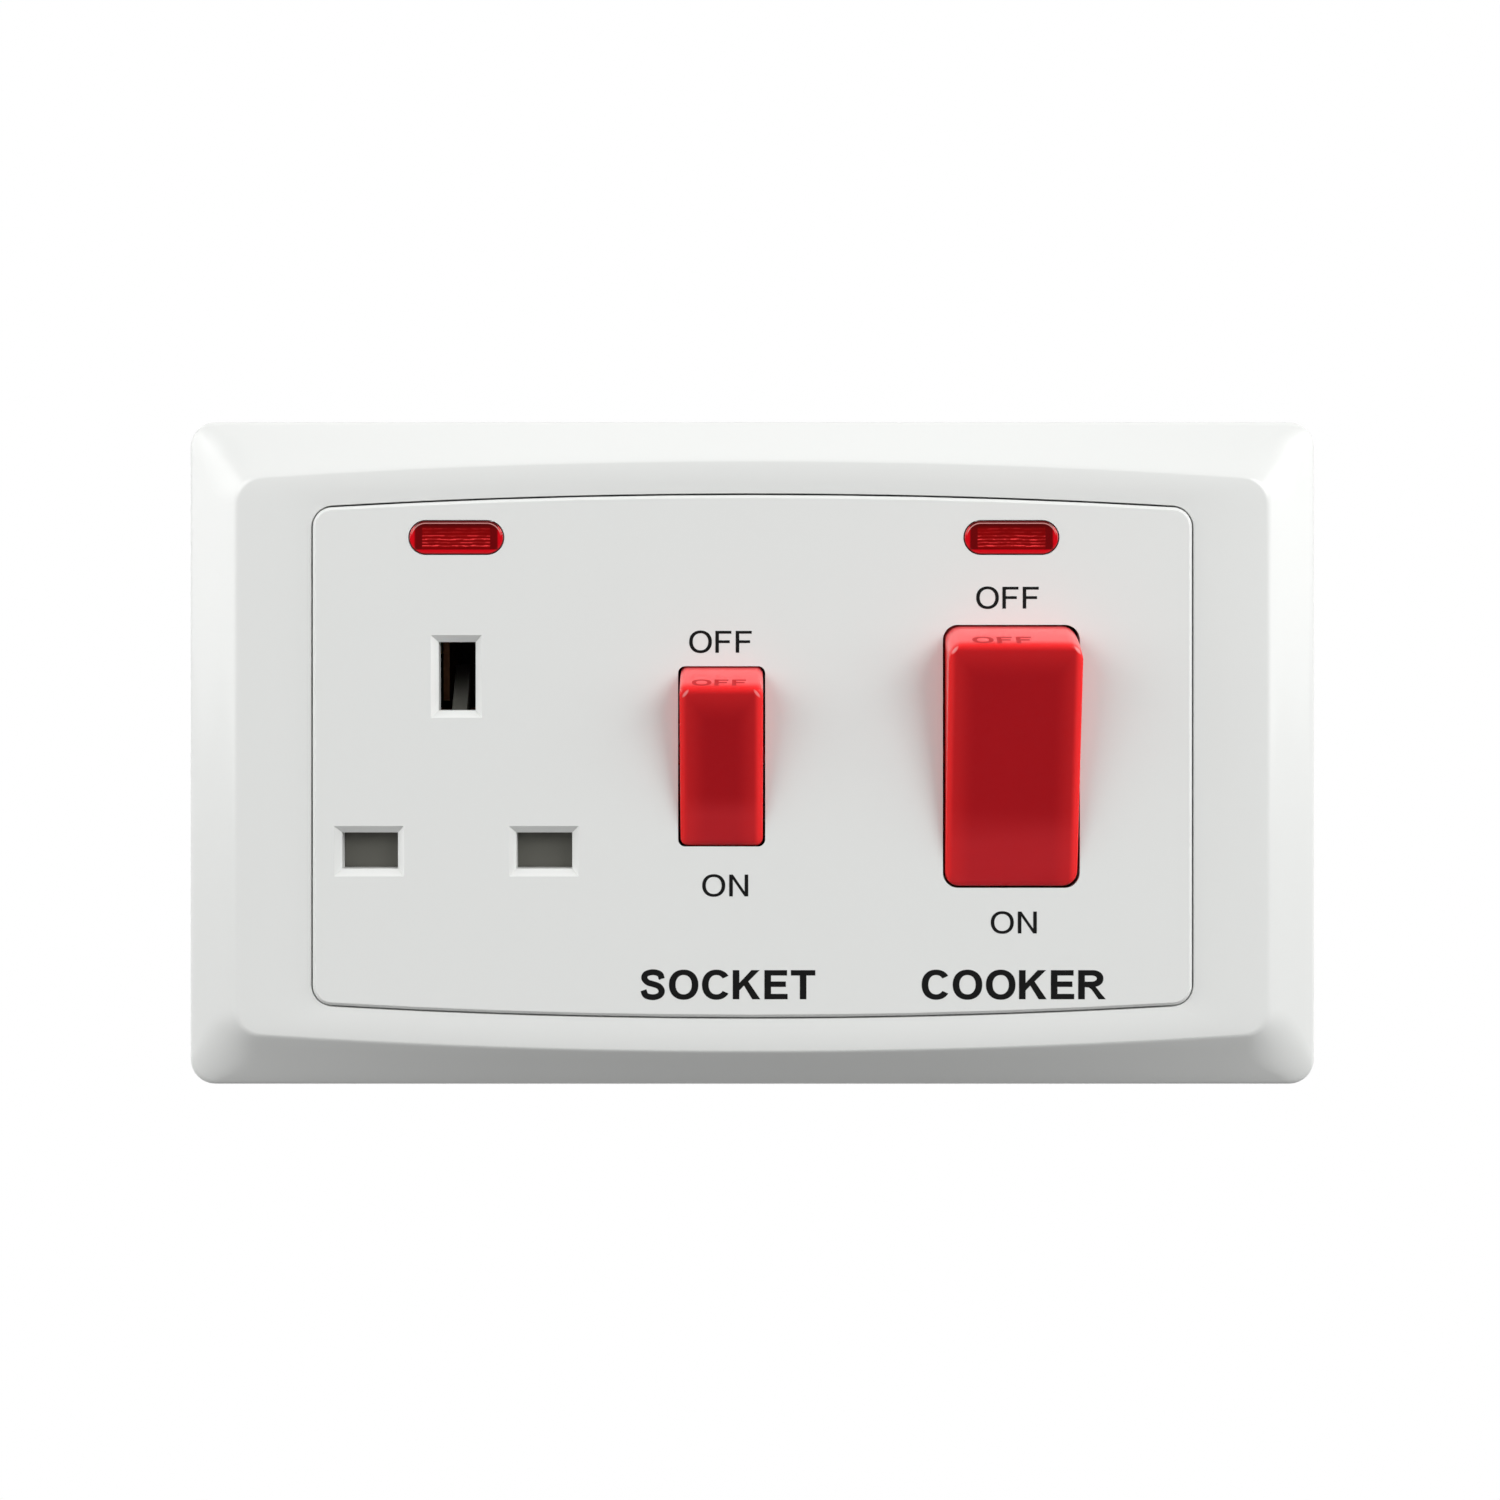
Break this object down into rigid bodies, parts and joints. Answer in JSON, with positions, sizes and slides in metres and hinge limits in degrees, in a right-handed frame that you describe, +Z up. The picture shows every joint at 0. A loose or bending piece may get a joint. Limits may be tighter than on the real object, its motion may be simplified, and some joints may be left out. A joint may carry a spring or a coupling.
{
  "type": "cooker control unit",
  "caption": "Wall plate with a large red cooker rocker switch, a smaller switched three-pin socket, pilot lenses and a clip-on bevelled surround.",
  "frame": {"origin": "middle of the wall plane, halfway between the two fixing holes at the back of the flange", "axes": "+X to the right seen from the room, +Z up, -Y out into the room, so +Y goes into the wall"},
  "size_m": [0.146, 0.0308, 0.086],
  "materials": {
    "white_plastic": "gloss",
    "dark_moulding": "matte",
    "red_plastic": "gloss",
    "red_lens": "gloss",
    "grey_plastic": "matte",
    "natural_nylon": "matte",
    "brass": "satin",
    "steel": "satin",
    "lamp_glass": "clear"
  },
  "bodies": {
    "unit": {"front_plate": "white_plastic", "rear_housing": "dark_moulding", "housing_screws": "steel", "shutter_spring": "steel", "cooker_live_bracket": "brass", "cooker_neutral_bracket": "brass", "socket_bracket": "brass", "cooker_live_contact": "brass", "cooker_neutral_contact": "brass", "live_clip": "brass", "neutral_clip": "brass", "earth_clip": "brass", "terminal_screws": "steel", "socket_lens": "red_lens", "cooker_lens": "red_lens", "socket_neon": "lamp_glass", "cooker_neon": "lamp_glass", "cooker_live_out_terminal": "brass", "cooker_neutral_out_terminal": "brass", "cooker_live_in_terminal": "brass", "cooker_neutral_in_terminal": "brass", "left_earth_terminal": "brass", "right_earth_terminal": "brass"},
    "surround": {"cover_frame": "white_plastic"},
    "shutter": {"shutter": "grey_plastic"},
    "cooker_rocker": {"cooker_rocker": "red_plastic", "cooker_live_plunger_spring": "steel", "cooker_neutral_plunger_spring": "steel"},
    "cooker_live_plunger": {"cooker_live_plunger": "natural_nylon"},
    "cooker_neutral_plunger": {"cooker_neutral_plunger": "natural_nylon"},
    "cooker_live_bar": {"cooker_live_bar": "brass"},
    "cooker_neutral_bar": {"cooker_neutral_bar": "brass"},
    "socket_rocker": {"socket_rocker": "red_plastic", "socket_plunger_spring": "steel"},
    "socket_plunger": {"socket_plunger": "natural_nylon"},
    "socket_bar": {"socket_bar": "brass"}
  },
  "joints": [
    {"name": "surround_pull", "type": "slide", "parent": "unit", "child": "surround", "axis": [0, -1, 0], "range_m": [0, 0.03]},
    {"name": "shutter_slide", "type": "slide", "parent": "unit", "child": "shutter", "axis": [0, 0, -1], "range_m": [0, 0.0054], "stiffness_N_per_m": 150, "springref_m": -0.004, "deforming": ["shutter_spring"]},
    {"name": "cooker_rocker_tilt", "type": "hinge", "parent": "unit", "child": "cooker_rocker", "pos_m": [0.0329, -0.0067, 0], "axis": [1, 0, 0], "range_deg": [-22, 0]},
    {"name": "socket_rocker_tilt", "type": "hinge", "parent": "unit", "child": "socket_rocker", "pos_m": [-0.0039, -0.0067, 0], "axis": [1, 0, 0], "range_deg": [-26, 0]},
    {"name": "cooker_live_plunger_slide", "type": "slide", "parent": "cooker_rocker", "child": "cooker_live_plunger", "axis": [0, -0.9816, -0.1908], "range_m": [0, 0.0006], "stiffness_N_per_m": 500, "springref_m": -0.003, "deforming": ["cooker_live_plunger_spring"]},
    {"name": "cooker_live_bar_tilt", "type": "hinge", "parent": "unit", "child": "cooker_live_bar", "pos_m": [0.0274, 0.0066, 0], "axis": [1, 0, 0], "range_deg": [0, 16]},
    {"name": "cooker_neutral_plunger_slide", "type": "slide", "parent": "cooker_rocker", "child": "cooker_neutral_plunger", "axis": [0, -0.9816, -0.1908], "range_m": [0, 0.0006], "stiffness_N_per_m": 500, "springref_m": -0.003, "deforming": ["cooker_neutral_plunger_spring"]},
    {"name": "cooker_neutral_bar_tilt", "type": "hinge", "parent": "unit", "child": "cooker_neutral_bar", "pos_m": [0.0384, 0.0066, 0], "axis": [1, 0, 0], "range_deg": [0, 16]},
    {"name": "socket_plunger_slide", "type": "slide", "parent": "socket_rocker", "child": "socket_plunger", "axis": [0, -0.9744, -0.225], "range_m": [0, 0.0006], "stiffness_N_per_m": 500, "springref_m": -0.003, "deforming": ["socket_plunger_spring"]},
    {"name": "socket_bar_tilt", "type": "hinge", "parent": "unit", "child": "socket_bar", "pos_m": [-0.0039, 0.0066, 0], "axis": [1, 0, 0], "range_deg": [0, 16]}
  ],
  "couplings": [
    {"joint": "cooker_live_bar_tilt", "follows": "cooker_rocker_tilt", "ratio": -0.72727},
    {"joint": "cooker_neutral_bar_tilt", "follows": "cooker_rocker_tilt", "ratio": -0.72727},
    {"joint": "socket_bar_tilt", "follows": "socket_rocker_tilt", "ratio": -0.61538}
  ]
}
